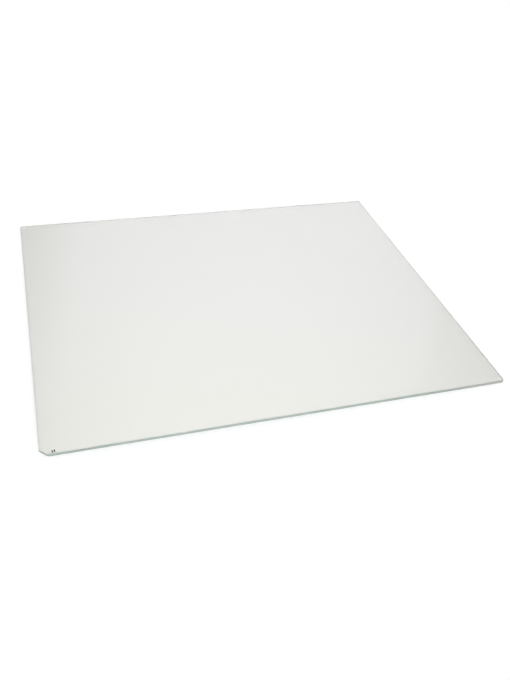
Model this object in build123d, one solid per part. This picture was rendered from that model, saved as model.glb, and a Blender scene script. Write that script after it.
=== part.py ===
from build123d import *
import os

# Oven door glass: one flat pane of toughened glass from the inside of an oven door.
# The pane lies on its lower face. X runs along its width, Y along its height in the
# closed door, Z through the glass, and the origin is the middle of the lower face.

# Driving dimensions, in millimetres
PANE_WIDTH = 520.0  # X, between the door's side channels
PANE_HEIGHT = 430.0  # Y, upright when the door is closed
GLASS_THICKNESS = 4.0  # Z
CORNER_CLIP = 8.0  # each leg of the 45 degree cut across the corner at -X -Y
CORNER_RADIUS = 3.0  # round ground onto every corner of the outline
ARRIS_WIDTH = 0.6  # how far the 45 degree arris reaches into the face and into the edge


def pane_outline():
    """Plan of the pane: a rectangle with one corner cut across, then every corner rounded."""
    with BuildSketch() as outline:
        Rectangle(PANE_WIDTH, PANE_HEIGHT)
        clipped_corner = outline.vertices().group_by(Axis.Y)[0].sort_by(Axis.X)[0]
        chamfer(clipped_corner, CORNER_CLIP)
        fillet(outline.vertices(), CORNER_RADIUS)
    return outline.sketch


def glass_pane():
    """The outline carried through the glass, with an arris ground along the rim of both faces."""
    with BuildPart() as pane:
        add(pane_outline())
        extrude(amount=GLASS_THICKNESS)
        rims = pane.faces().filter_by(Plane.XY).edges()
        chamfer(rims, ARRIS_WIDTH)
    return pane.part


os.makedirs("parts", exist_ok=True)
export_step(glass_pane(), "parts/glass_pane.step")
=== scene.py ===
# %% [markdown]
# # An oven door glass on a white table
# The object is a single loose pane: toughened glass from the inside of an oven door, with a ground edge
# and one corner cut across. The CAD frame gives its true size and place, in metres, lying flat on its
# lower face. The steps below give it what a solid can't hold: the faint wave that toughening leaves, a
# polished and a ground finish, a small fired mark, and light that glass can mirror.

import math

import bpy
import numpy as np
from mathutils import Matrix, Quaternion, Vector


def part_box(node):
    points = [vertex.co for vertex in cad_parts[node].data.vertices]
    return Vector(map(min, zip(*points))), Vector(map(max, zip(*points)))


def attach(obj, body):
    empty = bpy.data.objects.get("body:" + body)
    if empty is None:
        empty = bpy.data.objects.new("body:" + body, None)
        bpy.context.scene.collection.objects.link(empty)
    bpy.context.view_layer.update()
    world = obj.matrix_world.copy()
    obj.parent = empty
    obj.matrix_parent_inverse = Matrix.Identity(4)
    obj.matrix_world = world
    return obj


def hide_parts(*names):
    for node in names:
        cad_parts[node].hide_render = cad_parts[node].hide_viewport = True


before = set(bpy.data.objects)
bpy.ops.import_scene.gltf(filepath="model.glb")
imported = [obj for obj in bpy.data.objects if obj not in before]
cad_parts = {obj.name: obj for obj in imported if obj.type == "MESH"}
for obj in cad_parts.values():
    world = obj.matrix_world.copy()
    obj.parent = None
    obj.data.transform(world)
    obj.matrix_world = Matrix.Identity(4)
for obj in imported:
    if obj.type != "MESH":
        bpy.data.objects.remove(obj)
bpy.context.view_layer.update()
pane_low, pane_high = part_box("glass_pane")
PANE_WIDTH, PANE_HEIGHT, GLASS_THICKNESS = pane_high - pane_low
print("pane, mm:", [round(1000 * side, 2) for side in (PANE_WIDTH, PANE_HEIGHT, GLASS_THICKNESS)])

# %% [markdown]
# ## Camera
# The view looks down on the pane from its near left side, with the camera tipped a little about its own
# line of sight. A camera can be turned by hand until the edges agree, but four straight edges also fix it
# exactly: where they lead, and how fast they close in on each other, give its place, aim, tip and lens.

# %% Camera
CAMERA_PLACE = Vector((-0.2292, -0.6869, 0.5296))
CAMERA_AIM = Vector((-0.0055, -0.0887, 0.0039))
CAMERA_TIP = math.radians(6.01)
CAMERA_LENS = 36.87  # millimetres, where the picture's long side is 36 mm of film


def make_camera():
    """The camera looks along the line from its place to its aim, turned about that line by its tip."""
    camera = bpy.data.objects.new("camera", bpy.data.cameras.new("camera"))
    bpy.context.scene.collection.objects.link(camera)
    camera.data.lens = CAMERA_LENS
    camera.location = CAMERA_PLACE
    camera.rotation_mode = "QUATERNION"
    upright = (CAMERA_AIM - CAMERA_PLACE).to_track_quat("-Z", "Y")
    camera.rotation_quaternion = upright @ Quaternion((0, 0, 1), CAMERA_TIP)
    bpy.context.scene.camera = camera


make_camera()
bpy.context.scene.view_settings.view_transform = "Standard"
print("camera", round((CAMERA_AIM - CAMERA_PLACE).length, 3), "m from the glass")

# %% [markdown]
# ## Wires
# Light and finishes are node trees. Placing nodes one by one hides the sum that they make, so a small
# class wraps a socket: adding or multiplying wires adds the Math nodes, and one method makes any other
# node. Two short methods use it for the smooth steps and colour mixes that come up most.

# %% Wires


class Wire:
    """One output socket. Arithmetic on wires and numbers adds Math nodes to the same tree."""

    def __init__(self, socket):
        self.socket = socket
        self.tree = socket.id_data

    @staticmethod
    def node(tree, kind, settings=None, inputs=None):
        """Adds a node: its settings first, then a number, colour or wire for each input, by name or by place.
        Gives its outputs as wires, by name."""
        made = tree.nodes.new(kind)
        for name, value in (settings or {}).items():
            setattr(made, name, value)
        usable = [socket for socket in made.inputs if socket.enabled]
        for key, value in (inputs or {}).items():
            socket = usable[key] if isinstance(key, int) else next(s for s in usable if s.name == key)
            if isinstance(value, Wire):
                tree.links.new(value.socket, socket)
            else:
                socket.default_value = value
        return {socket.name: Wire(socket) for socket in made.outputs if socket.enabled}

    def math(self, operation, *values):
        """A Math node on these values, in their order."""
        inputs = dict(enumerate(values))
        return Wire.node(self.tree, "ShaderNodeMath", {"operation": operation}, inputs)["Value"]

    def rise(self, low, high):
        """0 below low and 1 above high, with a smooth step between."""
        inputs = {"Value": self, "From Min": low, "From Max": high}
        settings = {"interpolation_type": "SMOOTHSTEP"}
        return Wire.node(self.tree, "ShaderNodeMapRange", settings, inputs)["Result"]

    def blend(self, first, second):
        """The first colour where this wire is 0, the second where it is 1, and a mix between."""
        inputs = {"Factor": self, "A": first, "B": second}
        return Wire.node(self.tree, "ShaderNodeMix", {"data_type": "RGBA"}, inputs)["Result"]

    def __add__(self, other):
        return self.math("ADD", self, other)

    __radd__ = __add__

    def __sub__(self, other):
        return self.math("SUBTRACT", self, other)

    def __rsub__(self, other):
        return self.math("SUBTRACT", other, self)

    def __mul__(self, other):
        return self.math("MULTIPLY", self, other)

    __rmul__ = __mul__


def empty_tree(owner):
    """The owner's node tree with nothing in it."""
    owner.use_nodes = True
    owner.node_tree.nodes.clear()
    return owner.node_tree


print("wires ready")

# %% [markdown]
# ## Light
# A clear pane shows two things at once: the table through it and the room mirrored in it. In the
# photograph most of the pane mirrors one broad white panel, and the pane is darker where that mirror
# image ends, along the left edge and across the near right corner. Lamps would be mirrored as small hard
# spots, so the light is a whole room painted on the world: a pale band at the horizon, tall soft panels
# with darker gaps between them, and a ceiling that glows towards its middle. Each panel has a seam near
# its right side, which the pane mirrors as a faint slanting line. The room is all far away, so the white
# table is lit evenly wherever it is seen. Past the table the camera itself finds plain white, but what
# the glass mirrors has to be the room, or the pane would look blank.

# %% Light
ROOM_LEVEL = 0.10  # where 1 is white, as for every level here
HORIZON_LEVEL = 0.90  # above the room
HORIZON_FADE = (math.radians(12), math.radians(24))
PANEL_LEVEL = 1.197  # above the room
PANEL_RISE = 2.2  # more with height, for each radian above its leaning level
PANEL_FALL = 2.77  # share lost towards its sides, for each square radian from its middle
PANEL_TURN = math.radians(72)  # from one panel to the next
PANEL_MIDDLE = math.radians(20)  # heading of a panel's middle, from +Y towards +X
PANEL_LEFT = (math.radians(-4.6), math.radians(4.0))  # where a panel fades in
PANEL_RIGHT = (math.radians(32.85), math.radians(47.5))  # where it fades out
PANEL_SEAM = (math.radians(37.45), math.radians(38.7))  # a sharper line near its right side
PANEL_SEAM_LOSS = 0.25  # share lost beyond that line
PANEL_LEAN_LEVEL = math.radians(33)  # height at which these headings hold
PANEL_LEFT_LEAN = 0.30  # how fast its sides open out above that
PANEL_RIGHT_LEAN = 0.89
PANEL_SEAM_LEAN = 0.067
PANEL_TOP = (math.radians(48), math.radians(58))
CEILING_LEVEL = 1.99  # above the room
CEILING_MIDDLE = Vector((-0.20, -0.33, 0.92)).normalized()  # leans towards the near left side
CEILING_FADE = (math.cos(math.radians(45)), math.cos(math.radians(5)))  # from its rim to its bright middle
DAYLIGHT = (0.97, 0.985, 1.10, 1)  # on the panels, a little cool
SKYLIGHT = (1.005, 1.0, 0.98, 1)  # at the horizon and high up
SKY_FADE = (math.radians(34), math.radians(46))


def panel_level(heading, height):
    """Brightness of the panels by heading and height: each fades in at its left side and out at its right and
    its top, loses a share beyond a seam, and its sides open out with height. It gains with height and loses
    with the square of the angle from its middle. The same panel repeats round the room."""
    half_turn = PANEL_TURN / 2
    heading = heading.math("WRAP", heading, PANEL_MIDDLE + half_turn, PANEL_MIDDLE - half_turn)
    above = height - PANEL_LEAN_LEVEL
    aside = heading - PANEL_MIDDLE
    panel = (heading + PANEL_LEFT_LEAN * above).rise(*PANEL_LEFT)
    panel = panel * (1 - (heading - PANEL_RIGHT_LEAN * above).rise(*PANEL_RIGHT))
    panel = panel * (1 - PANEL_SEAM_LOSS * (heading - PANEL_SEAM_LEAN * above).rise(*PANEL_SEAM))
    panel = panel * (1 - height.rise(*PANEL_TOP))
    return panel * (PANEL_LEVEL + PANEL_RISE * above) * (1 - PANEL_FALL * aside * aside)


def light_room():
    """The world: the room's level plus the horizon band, the panels above that band and the ceiling, which
    fades in with the cosine of the angle to its middle. Where the camera looks straight at it, it is plain
    white."""
    world = bpy.data.worlds.new("studio")
    bpy.context.scene.world = world
    tree = empty_tree(world)
    towards = Wire.node(tree, "ShaderNodeTexCoord")["Generated"]
    part = Wire.node(tree, "ShaderNodeSeparateXYZ", inputs={"Vector": towards})
    height = part["Z"].math("ARCSINE", part["Z"])
    heading = part["X"].math("ARCTAN2", part["X"], part["Y"])
    horizon = 1 - height.rise(*HORIZON_FADE)
    lean = {0: towards, 1: CEILING_MIDDLE}
    ceiling = Wire.node(tree, "ShaderNodeVectorMath", {"operation": "DOT_PRODUCT"}, lean)["Value"]
    level = ROOM_LEVEL + HORIZON_LEVEL * horizon + panel_level(heading, height) * (1 - horizon)
    level = level + CEILING_LEVEL * ceiling.rise(*CEILING_FADE)
    colour = (horizon + height.rise(*SKY_FADE)).blend(DAYLIGHT, SKYLIGHT)
    lit = Wire.node(tree, "ShaderNodeBackground", inputs={"Color": colour, "Strength": level})["Background"]
    white = Wire.node(tree, "ShaderNodeBackground", inputs={"Color": (1, 1, 1, 1)})["Background"]
    seen = Wire.node(tree, "ShaderNodeLightPath")["Is Camera Ray"]
    shown = Wire.node(tree, "ShaderNodeMixShader", inputs={0: seen, 1: lit, 2: white})["Shader"]
    Wire.node(tree, "ShaderNodeOutputWorld", inputs={"Surface": shown})


light_room()
print("room with", round(2 * math.pi / PANEL_TURN), "panels ready")

# %% [markdown]
# ## Light paths
# Two of Cycles' savings don't suit a sheet of glass. Light that enters it is mirrored between the two
# faces many times before it leaves at an edge, and an edge whose paths are cut short turns black. So a
# path may be long, which costs little here. Filter Glossy also blurs what is lit through glass, and the
# table under the pane would darken.

# %% Light paths
LONGEST_PATH = 200

cycles = bpy.context.scene.cycles
cycles.blur_glossy = 0.0
cycles.max_bounces = LONGEST_PATH
cycles.glossy_bounces = LONGEST_PATH
cycles.transmission_bounces = LONGEST_PATH
print("light paths of up to", cycles.max_bounces, "bounces")

# %% [markdown]
# ## Table
# The pane lies on something white and matt. Its white is the table's own colour under that light, so the
# glass shows the same white through itself, and the table still takes the pane's faint shadow. The table
# lies a hair below the glass, because two surfaces in one place would flicker.

# %% Table
TABLE_SIZE = 12.0  # metres, as for every length here
TABLE_GAP = 0.0002
TABLE_WHITE = (0.97, 0.97, 0.97, 1)


def principled(tree, inputs):
    """Ends a material's tree with one Principled shader that has these inputs."""
    surface = Wire.node(tree, "ShaderNodeBsdfPrincipled", inputs=inputs)["BSDF"]
    Wire.node(tree, "ShaderNodeOutputMaterial", inputs={"Surface": surface})


def matt_white():
    """Matt white, with no gloss."""
    material = bpy.data.materials.new("matt_white")
    tree = empty_tree(material)
    inputs = {"Base Color": TABLE_WHITE, "Roughness": 1.0, "Specular IOR Level": 0.0}
    principled(tree, inputs)
    return material


def lay_table():
    """One square, seen from above."""
    half = TABLE_SIZE / 2
    corners = [(-half, -half), (half, -half), (half, half), (-half, half)]
    mesh = bpy.data.meshes.new("table")
    mesh.from_pydata([(x, y, pane_low.z - TABLE_GAP) for x, y in corners], [], [(0, 1, 2, 3)])
    mesh.materials.append(matt_white())
    table = bpy.data.objects.new("table", mesh)
    bpy.context.scene.collection.objects.link(table)


lay_table()
print("table at", round(1000 * (pane_low.z - TABLE_GAP), 2), "mm")

# %% [markdown]
# ## Outline
# A glazier cuts the sheet, cuts one corner across and rounds every corner on the belt. The outline is
# worked out the same way: straight runs between the corners, and at each corner an arc that touches both
# runs. Each point also gets the direction that points straight out of the glass there, which the edge
# profile needs.

# %% Outline
CORNER_CLIP = 0.008
CORNER_RADIUS = 0.003
RUN_STEP = 0.012
ARC_STEPS = 8


def rounded_outline(corners, radius, run_step):
    """Points and outward directions of a closed outline, counter-clockwise.
    Where the outline turns by an angle, its arc starts radius times the tangent of half that angle before the
    corner. The direction out of the glass turns evenly along the arc and stays put along each run."""
    corners = np.asarray(corners, float)
    runs = np.roll(corners, -1, axis=0) - corners
    along = runs / np.linalg.norm(runs, axis=1, keepdims=True)
    before = np.roll(along, 1, axis=0)
    turn = np.arctan2(before[:, 0] * along[:, 1] - before[:, 1] * along[:, 0], (before * along).sum(axis=1))
    reach = radius * np.tan(turn / 2)
    start_angle = np.arctan2(-before[:, 0], before[:, 1])
    angles = start_angle[:, None] + turn[:, None] * np.linspace(0, 1, ARC_STEPS + 1)
    arc_out = np.stack([np.cos(angles), np.sin(angles)], axis=2)
    centres = corners - reach[:, None] * before + radius * np.stack([-before[:, 1], before[:, 0]], axis=1)
    arcs = centres[:, None, :] + radius * arc_out
    points, outward = [], []
    for arc, out, after in zip(arcs, arc_out, np.roll(arcs, -1, axis=0)):
        count = max(1, round(np.linalg.norm(after[0] - arc[-1]) / run_step))
        share = np.linspace(0, 1, count + 1)[1:-1, None]
        points += [arc, arc[-1] + share * (after[0] - arc[-1])]
        outward += [out, np.repeat(out[-1:], count - 1, axis=0)]
    return np.concatenate(points), np.concatenate(outward)


half_width, half_height = PANE_WIDTH / 2, PANE_HEIGHT / 2
pane_corners = [
    (CORNER_CLIP - half_width, -half_height),
    (half_width, -half_height),
    (half_width, half_height),
    (-half_width, half_height),
    (-half_width, CORNER_CLIP - half_height),
]
pane_outline, pane_outward = rounded_outline(pane_corners, CORNER_RADIUS, RUN_STEP)
print("outline of", len(pane_outline), "points")

# %% [markdown]
# ## Pane
# Glass is toughened by heating it on rollers and chilling it with air, and the rollers leave both faces
# with a wave too shallow to feel. It shows only in what the pane mirrors, where straight edges come out a
# little bent. A bump map could tilt the shading, but a shape keeps the wave in the exported mesh too. So
# the pane is a stack of closed rings: from the middle of the lower face out to its rim, round the ground
# edge with an arris on both rims, and back to the middle of the upper face.

# %% Pane
ARRIS_WIDTH = 0.0006
WAVE_DEPTH = 0.00005
WAVE_LENGTH = 0.26
WAVE_SKEW = 0.35  # how far the wave's crests lean, in turns over the pane's height
FACE_RINGS = 22
SHARP_ANGLE = math.radians(30)


def roller_wave(plan):
    """Lift of the sheet at points in plan: a cosine along the pane's width whose crests lean a little."""
    phase = plan[..., 0] / WAVE_LENGTH + WAVE_SKEW * plan[..., 1] / PANE_HEIGHT
    return WAVE_DEPTH * (0.5 - 0.5 * np.cos(2 * math.pi * phase))


def upper_face(plan):
    """Height of the upper face at points in plan: the glass at its full height less the wave's depth, lifted
    by the wave."""
    return pane_high.z - WAVE_DEPTH + roller_wave(plan)


def lower_face(plan):
    """Height of the lower face at points in plan: the table side, lifted by the same wave."""
    return pane_low.z + roller_wave(plan)


def at_height(plan, height):
    """Points in plan with their heights as a third column."""
    return np.concatenate([plan, np.broadcast_to(height, plan.shape[:-1])[..., None]], axis=-1)


def pane_rings():
    """The rings of the pane, shape (ring, point, 3). A face's ring is the rim scaled towards the middle, and
    the edge's two rings lie on the outline, an arris away from either face."""
    rim = pane_outline - ARRIS_WIDTH * pane_outward
    shares = np.linspace(0, 1, FACE_RINGS + 1)[1:, None, None]
    face = shares * rim
    lower = at_height(face, lower_face(face))
    upper = at_height(face, upper_face(face))[::-1]
    edge_low = at_height(pane_outline, lower_face(pane_outline) + ARRIS_WIDTH)
    edge_high = at_height(pane_outline, upper_face(pane_outline) - ARRIS_WIDTH)
    return np.concatenate([lower, edge_low[None], edge_high[None], upper])


def ring_faces(ring_count, point_count):
    """Quads between neighbouring rings and triangles to a pole at either end, as vertex numbers. The poles
    come after the rings. Points run counter-clockwise, and rings from below to above, so every face looks
    out."""
    point = np.arange(point_count)
    after = np.roll(point, -1)
    ring = point_count * np.arange(ring_count - 1)[:, None]
    above = ring + point_count
    quads = np.stack([ring + point, ring + after, above + after, above + point], axis=2)
    low_pole = ring_count * point_count
    last = (ring_count - 1) * point_count
    low_fan = np.stack([np.full(point_count, low_pole), after, point], axis=1)
    high_fan = np.stack([np.full(point_count, low_pole + 1), last + point, last + after], axis=1)
    return quads.reshape(-1, 4), np.concatenate([low_fan, high_fan])


def mesh_of_rings(name, stacks):
    """A mesh of one or more closed stacks of rings. The pole of an end is the mean of its ring."""
    vertices, quads, fans, offset = [], [], [], 0
    for rings in stacks:
        poles = np.stack([rings[0].mean(axis=0), rings[-1].mean(axis=0)])
        stack_quads, stack_fans = ring_faces(*rings.shape[:2])
        vertices += [rings.reshape(-1, 3), poles]
        quads.append(stack_quads + offset)
        fans.append(stack_fans + offset)
        offset += rings.shape[0] * rings.shape[1] + len(poles)
    mesh = bpy.data.meshes.new(name)
    faces = np.concatenate(quads).tolist() + np.concatenate(fans).tolist()
    mesh.from_pydata(np.concatenate(vertices), [], faces)
    mesh.shade_smooth()
    mesh.set_sharp_from_angle(angle=SHARP_ANGLE)
    return mesh


rings = pane_rings()
pane = bpy.data.objects.new("toughened_pane", mesh_of_rings("toughened_pane", [rings]))
bpy.context.scene.collection.objects.link(pane)
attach(pane, "root")
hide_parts("glass_pane")
print("pane of", len(pane.data.polygons), "faces")

# %% [markdown]
# ## Finishes of the glass
# The faces are fire-polished and carry the thin heat-reflecting coat of an oven pane, which takes a
# little off the light that passes: a transmission shader with a pale tint, smooth but for faint wipe
# marks. The edge was ground on a diamond wheel, which leaves it matt and full of fine lines along its
# length. Most of its light still goes through, scattered by the rough surface, and comes out green. Seen
# through the upper face the far edges look grey instead, because that light has crossed only a little
# glass, so the tint asks from which side the surface is met. The green isn't even along the edge either,
# and that is painted light and shade in its colour. Wide fades over X and Y deepen it to the right as
# painted shade, turn it grey and paler at the near right corner as painted light, and darken the light
# from inside towards that corner as painted shade. The arrises along the left edge and the cut corner
# are painted paler, as painted light. Faces and edge are two materials, because each keeps its own
# plain numbers.

# %% Finishes of the glass
GLASS_BEND = 1.52  # index of refraction
STREAK_ROUGHNESS = 0.6  # how much of the fine detail a noise keeps
FACE_TINT = (0.866, 0.867, 0.843, 1)
FACE_ROUGHNESS = 0.004
WIPE_ROUGHNESS = 0.02
WIPE_STRETCH = (5.0, 26.0, 1.0)  # streaks for each metre along X, Y and Z, here and below
WIPE_DETAIL = 4.0  # finer and finer layers of noise, here and below
WIPE_FADE = (0.5, 0.8)
EDGE_PALE = (0.425, 0.55, 0.485, 1)
# the deeper green: the darker tone of the cloudy patches, and of the painted shade to the right
EDGE_DEEP = (0.33, 0.45, 0.385, 1)
# share of the painted shade that darkens the green towards the right
EDGE_PAINTED_SHADE_SHARE = 0.7
EDGE_PAINTED_SHADE_FADE = (-0.11, -0.05)  # X, in metres, over which painted shade deepens the green by that share
EDGE_CORNER_PAINTED_LIGHT = (0.53, 0.565, 0.515, 1)  # painted light: greyer and paler at the near right corner
EDGE_CORNER_PAINTED_LIGHT_FADE = (0.395, 0.44)  # X less Y, in metres, which grows towards that corner
EDGE_WITHIN = (0.66, 0.65, 0.63, 1)  # for light that meets the edge from inside the glass
EDGE_WITHIN_PAINTED_SHADE = (0.38, 0.41, 0.38, 1)  # painted shade: the same light, darker towards that corner
EDGE_WITHIN_PAINTED_SHADE_SHARE = 0.5
EDGE_WITHIN_PAINTED_SHADE_FADE = (0.20, 0.48)  # X less Y again
ARRIS_PALE = (0.645, 0.76, 0.695, 1)
ARRIS_LEFT_PAINTED_LIGHT = (0.88, 0.90, 0.85, 1)  # painted light: paler along the left edge and the cut corner
ARRIS_BLEND = 0.0001  # how softly the arris runs into the land
EDGE_CLEAR = 0.9  # share of the light that goes through
EDGE_ROUGHNESS = 0.28
EDGE_ROUGHNESS_SPREAD = 0.2
GRIND_DEPTH = 0.00002
LINE_STRETCH = (30.0, 30.0, 9000.0)
LINE_DETAIL = 3.0
CLOUD_STRETCH = (60.0, 60.0, 200.0)
CLOUD_DETAIL = 3.0
CLOUD_FADE = (0.3, 0.7)


def streaks(tree, stretch, detail):
    """A noise over Object coordinates, with its own stretch along each axis."""
    place = Wire.node(tree, "ShaderNodeTexCoord")["Object"]
    stretched = Wire.node(tree, "ShaderNodeMapping", inputs={"Vector": place, "Scale": stretch})["Vector"]
    noise = {"Vector": stretched, "Scale": 1.0, "Detail": detail, "Roughness": STREAK_ROUGHNESS}
    return Wire.node(tree, "ShaderNodeTexNoise", inputs=noise)["Fac"]


def polished_face():
    """Clear coated glass whose roughness rises a little in long soft wipe marks."""
    material = bpy.data.materials.new("polished_face")
    tree = empty_tree(material)
    wiped = streaks(tree, WIPE_STRETCH, WIPE_DETAIL).rise(*WIPE_FADE)
    inputs = {
        "Base Color": FACE_TINT,
        "Roughness": FACE_ROUGHNESS + WIPE_ROUGHNESS * wiped,
        "IOR": GLASS_BEND,
        "Transmission Weight": 1.0,
    }
    principled(tree, inputs)
    return material


def ground_edge():
    """Matt glass: fine lines along the edge vary its depth and roughness, and cloudy patches vary its green,
    which painted shade deepens from left to right. The narrow arrises are paler than the land between
    them, and painted light makes them paler still along the left edge and the cut corner. Light from
    inside the glass finds the edge grey. Towards one corner, painted light turns the outside grey and
    paler, and painted shade darkens the light from inside."""
    material = bpy.data.materials.new("ground_edge")
    tree = empty_tree(material)
    lines = streaks(tree, LINE_STRETCH, LINE_DETAIL)
    cloud = streaks(tree, CLOUD_STRETCH, CLOUD_DETAIL).rise(*CLOUD_FADE)
    place = Wire.node(tree, "ShaderNodeTexCoord")["Object"]
    part = Wire.node(tree, "ShaderNodeSeparateXYZ", inputs={"Vector": place})
    low, high = pane_low.z + ARRIS_WIDTH, pane_high.z - WAVE_DEPTH - ARRIS_WIDTH
    land = part["Z"].rise(low - ARRIS_BLEND, low) * (1 - part["Z"].rise(high, high + ARRIS_BLEND))
    within = Wire.node(tree, "ShaderNodeNewGeometry")["Backfacing"]
    left = pane_low.x + CORNER_CLIP
    # painted light: the arris paler along the left edge and the cut corner
    arris_with_painted_light = part["X"].rise(left, left + ARRIS_BLEND).blend(ARRIS_LEFT_PAINTED_LIGHT, ARRIS_PALE)
    # painted shade: the green darkens from left to right, on top of the cloudy patches
    cloud_and_painted_shade = cloud * (1 - EDGE_PAINTED_SHADE_SHARE * part["X"].rise(*EDGE_PAINTED_SHADE_FADE))
    cornerward = part["X"] - part["Y"]
    outside_painted_light_and_shade = land.blend(arris_with_painted_light, cloud_and_painted_shade.blend(EDGE_DEEP, EDGE_PALE))
    # painted light: the edge greyer and paler towards the near right corner
    outside_painted_light_and_shade = cornerward.rise(*EDGE_CORNER_PAINTED_LIGHT_FADE).blend(outside_painted_light_and_shade, EDGE_CORNER_PAINTED_LIGHT)
    # painted shade: light from within the glass darker towards the near right corner
    inside_with_painted_shade = (EDGE_WITHIN_PAINTED_SHADE_SHARE * cornerward.rise(*EDGE_WITHIN_PAINTED_SHADE_FADE)).blend(EDGE_WITHIN, EDGE_WITHIN_PAINTED_SHADE)
    colour = within.blend(outside_painted_light_and_shade, inside_with_painted_shade)
    bump = {"Height": lines, "Distance": GRIND_DEPTH, "Strength": 1.0}
    inputs = {
        "Base Color": colour,
        "Roughness": EDGE_ROUGHNESS + EDGE_ROUGHNESS_SPREAD * lines,
        "IOR": GLASS_BEND,
        "Transmission Weight": EDGE_CLEAR,
        "Normal": Wire.node(tree, "ShaderNodeBump", inputs=bump)["Normal"],
    }
    principled(tree, inputs)
    return material


pane.data.materials.append(polished_face())
pane.data.materials.append(ground_edge())
point_count = len(pane_outline)
quad_ring = np.arange(len(rings) - 1).repeat(point_count)
on_edge = (quad_ring >= FACE_RINGS - 1) & (quad_ring <= FACE_RINGS + 1)
finish = np.concatenate([on_edge, np.zeros(2 * point_count, bool)]).astype(np.int32)
pane.data.polygons.foreach_set("material_index", finish)
print("ground faces:", int(finish.sum()), "of", len(finish))

# %% [markdown]
# ## Fired mark
# Near the cut corner the pane carries a tiny dark mark, ceramic ink that was fired into the surface: two
# short bars, side by side. It could be a mask in the glass's own material, but ink is a film of its own,
# so each bar is a closed sliver with round ends that starts just inside the glass and stands just proud.

# %% Fired mark
BAR_WIDTH = 0.00115
BAR_LENGTH = 0.0033
BAR_PLACES = [(0.0126, 0.0026, 10), (0.0146, 0.0031, 4)]  # from the left and near edges, and lean in degrees
BAR_STEP = 0.0004
BAR_ROUND = 0.98  # radius of its ends, as a share of half its width
INK_ABOVE = 0.00001
INK_BELOW = 0.00002
INK_CROWN = 0.6  # how much of its width a bar keeps at its top
INK_DARK = (0.018, 0.019, 0.019, 1)
INK_WORN = (0.050, 0.052, 0.052, 1)
INK_ROUGHNESS = 0.45
INK_ROUGHNESS_SPREAD = 0.3
INK_GLOSS = 0.25
SPECK_STRETCH = (3000.0, 3000.0, 3000.0)
SPECK_DETAIL = 2.0
SPECK_FADE = (0.45, 0.7)


def bar_rings(place):
    """Rings of one bar: its outline under the glass's surface, the same at the surface, and a narrower one on
    top."""
    left, near, lean = place
    centre = np.array([left - half_width, near - half_height])
    cosine, sine = math.cos(math.radians(lean)), math.sin(math.radians(lean))
    leaning = np.array([[cosine, sine], [-sine, cosine]])
    across, up = BAR_WIDTH / 2, BAR_LENGTH / 2
    corners = [(-across, -up), (across, -up), (across, up), (-across, up)]
    outline, outward = rounded_outline(corners, BAR_ROUND * across, BAR_STEP)
    crown = outline - (1 - INK_CROWN) * across * outward
    plans = [centre + plan @ leaning for plan in (outline, outline, crown)]
    lifts = [-INK_BELOW, 0.0, INK_ABOVE]
    return np.stack([at_height(plan, upper_face(plan) + lift) for plan, lift in zip(plans, lifts)])


def fired_ink():
    """Dark ceramic ink, a little worn in specks."""
    material = bpy.data.materials.new("fired_ink")
    tree = empty_tree(material)
    specks = streaks(tree, SPECK_STRETCH, SPECK_DETAIL).rise(*SPECK_FADE)
    inputs = {
        "Base Color": specks.blend(INK_DARK, INK_WORN),
        "Roughness": INK_ROUGHNESS + INK_ROUGHNESS_SPREAD * specks,
        "Specular IOR Level": INK_GLOSS,
    }
    principled(tree, inputs)
    return material


mark_mesh = mesh_of_rings("fired_mark", [bar_rings(place) for place in BAR_PLACES])
mark_mesh.materials.append(fired_ink())
mark = bpy.data.objects.new("fired_mark", mark_mesh)
bpy.context.scene.collection.objects.link(mark)
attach(mark, "root")
print("mark of", len(BAR_PLACES), "bars,", len(mark_mesh.polygons), "faces")
